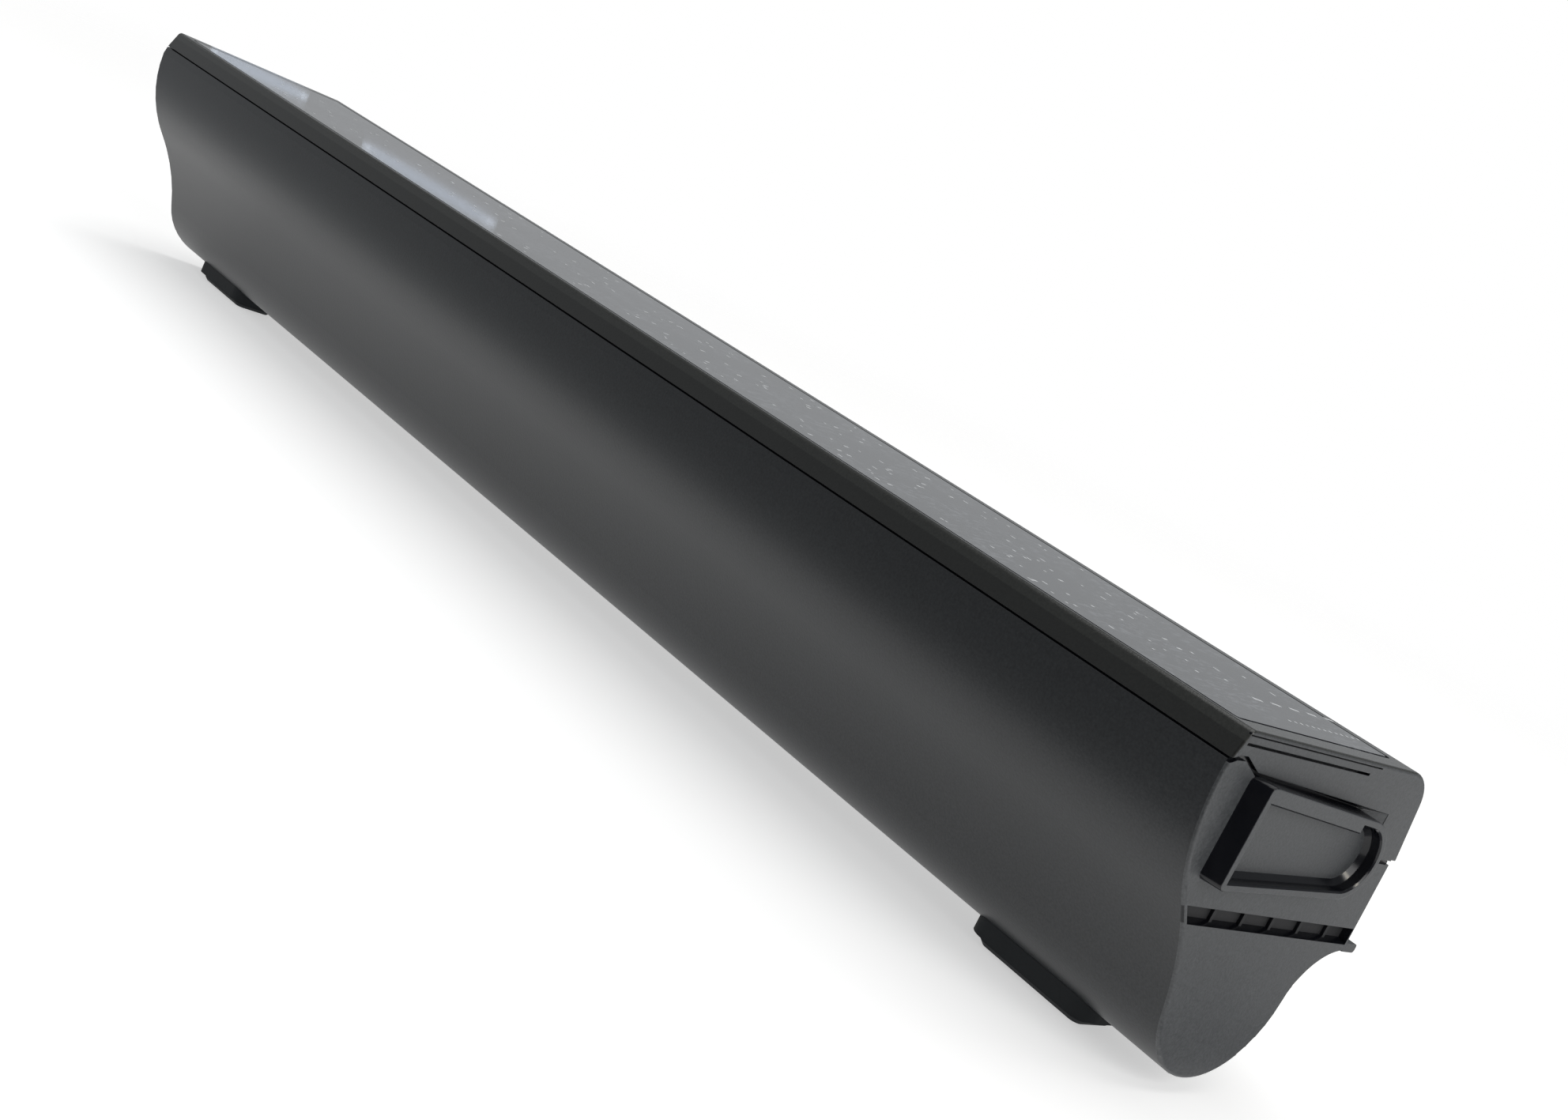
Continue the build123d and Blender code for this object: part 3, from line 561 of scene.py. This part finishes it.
# A low pale wall round the table, and above it the dimmer room with its ceiling
turns = [2 * math.pi * i / wall_sides for i in range(wall_sides)]
wall_faces = [(i, (i + 1) % wall_sides, wall_sides + (i + 1) % wall_sides, wall_sides + i)
              for i in range(wall_sides)]
ceiling = tuple(range(wall_sides, 2 * wall_sides))
rings = {"low_wall": (0.0, wall_height, wall_faces, "#b4b6b8"),
         "dim_room": (wall_height, room_height, wall_faces + [ceiling], "#7a7c7e")}
for name, (low, high, faces, colour) in rings.items():
    ring = [(wall_radius * math.cos(a), wall_radius * math.sin(a), z) for z in (low, high) for a in turns]
    reflected_card(name, ring, faces, colour, 1.0)

# A grey flag along the front, which grows paler towards the far end
flag_x = (-0.8, 0.14)
flag_y = (-0.026, -0.042)
flag_height = 0.06
flag_change = (-0.2, 0.1)
flag_levels = (1.5, 0.85)
flag_ground = list(zip(flag_x, flag_y))
flag_corners = [(x, y, 0) for x, y in flag_ground] + [(x, y, flag_height) for x, y in reversed(flag_ground)]
flag = reflected_card("front_flag", flag_corners, [(0, 1, 2, 3)], "#9a9c9e", 1.0)
flag.visible_diffuse = True
tree = flag.data.materials[0].node_tree
place = add_node(tree, "ShaderNodeTexCoord", {}).outputs["Object"]
along = add_node(tree, "ShaderNodeSeparateXYZ", {0: place})
paler = add_node(tree, "ShaderNodeMapRange", {"Value": along.outputs["X"], "From Min": flag_change[0],
                                              "From Max": flag_change[1], "To Min": flag_levels[0],
                                              "To Max": flag_levels[1]})
set_sockets(tree, tree.nodes["Principled BSDF"], {"Emission Strength": paler.outputs[0]})

# A dark card on the camera's side, which keeps the polished flanks near black
side_x = 0.27
side_y = -0.5
side_height = 0.12
side_ground = [(flag_x[1], flag_y[1]), (side_x, flag_y[1]), (side_x, side_y)]
side_corners = [(x, y, z) for z in (0, side_height) for x, y in side_ground]
reflected_card("camera_side", side_corners, [(0, 1, 4, 3), (1, 2, 5, 4)], "#26282a", 1.0)

# A grey card on the table beside the shown end, whose lower half mirrors it
shade_lift = 0.5 * mm
shade_corners = [(0.147, -0.02, shade_lift), (0.147, 0.03, shade_lift), (0.227, 0.18, shade_lift),
                 (0.227, 0.13, shade_lift)]
reflected_card("end_shade", shade_corners, [(0, 1, 2, 3)], "#808284", 1.0)

# A small warm lamp that leaves a glint on the rim
glint_half = 0.06
glint_centre = (0.757, 0.002, 0.546)
glint_corners = [(glint_centre[0], glint_centre[1] + y * glint_half, glint_centre[2] + z * glint_half)
                 for y, z in ((-1, -1), (1, -1), (1, 1), (-1, 1))]
reflected_card("glint_lamp", glint_corners, [(0, 1, 2, 3)], "#fff8ea", 16.0)

# Two ovals of cool light in the film, each a pale card with a brighter one behind it for an outline
eye = Vector((250.376, -197.602, 74.327)) * mm
oval_sides = 28
ovals = {"oval_far": ((-123 * mm, -13 * mm), (14 * mm, 9 * mm)),
         "oval_mid": ((-49 * mm, -14.5 * mm), (23 * mm, 5.5 * mm))}
oval_layers = {"_outline": (1.0, 31 * mm, 1.6), "_inside": (0.88, 30 * mm, 0.85)}
for name, ((middle_x, middle_y), (half_x, half_y)) in ovals.items():
    for layer, (share, reach, strength) in oval_layers.items():
        oval_corners = []
        for i in range(oval_sides):
            turn = 2 * math.pi * i / oval_sides
            spot = Vector((middle_x + share * half_x * math.cos(turn),
                           middle_y + share * half_y * math.sin(turn), film_high.z))
            away = (spot - eye).normalized()
            oval_corners.append(spot + Vector((away.x, away.y, -away.z)) * reach)
        reflected_card(name + layer, oval_corners, [tuple(range(oval_sides))], "#e6f0ff", strength)

# Lamps
# A wide soft box over the table and a smaller one that lifts the shown end.
# Each has its place, the point it faces, its size in metres and its power in watts.
lamps = {"top_softbox": ((0.0, 0.1, 1.2), (0.0, 0.0, 0.02), 1.3, 6.5),
         "end_softbox": ((1.0, -0.1, 0.5), (0.14, 0.0, 0.03), 0.6, 4.0)}
for name, (position, target, size, power) in lamps.items():
    lamp = bpy.data.lights.new(name, "AREA")
    lamp.size = size
    lamp.energy = power
    holder = bpy.data.objects.new(name, lamp)
    bpy.context.scene.collection.objects.link(holder)
    holder.location = position
    holder.rotation_euler = (Vector(target) - Vector(position)).to_track_quat("-Z", "Y").to_euler()

# Camera
# Close to the shown end, a little above the table and rolled, as the photograph was taken.
photo_width = 1984
focal_pixels = 2558.837
azimuth = math.radians(135.018)
pitch = math.radians(-10.270)
roll = math.radians(26.021)
camera_data = bpy.data.cameras.new("camera")
camera_data.sensor_width = 36.0
camera_data.sensor_fit = "HORIZONTAL"
camera_data.lens = focal_pixels / photo_width * camera_data.sensor_width
camera_data.clip_start = 0.01
camera_data.clip_end = 20.0
camera = bpy.data.objects.new("camera", camera_data)
bpy.context.scene.collection.objects.link(camera)
ahead = Vector((math.cos(azimuth) * math.cos(pitch), math.sin(azimuth) * math.cos(pitch), math.sin(pitch)))
level_right = ahead.cross(Vector((0, 0, 1))).normalized()
level_up = level_right.cross(ahead)
right = level_right * math.cos(roll) + level_up * math.sin(roll)
up = level_up * math.cos(roll) - level_right * math.sin(roll)
facing_matrix = Matrix((right, up, -ahead)).transposed().to_4x4()
camera.matrix_world = Matrix.Translation(eye) @ facing_matrix
bpy.context.scene.camera = camera
bpy.context.scene.view_settings.view_transform = "Standard"
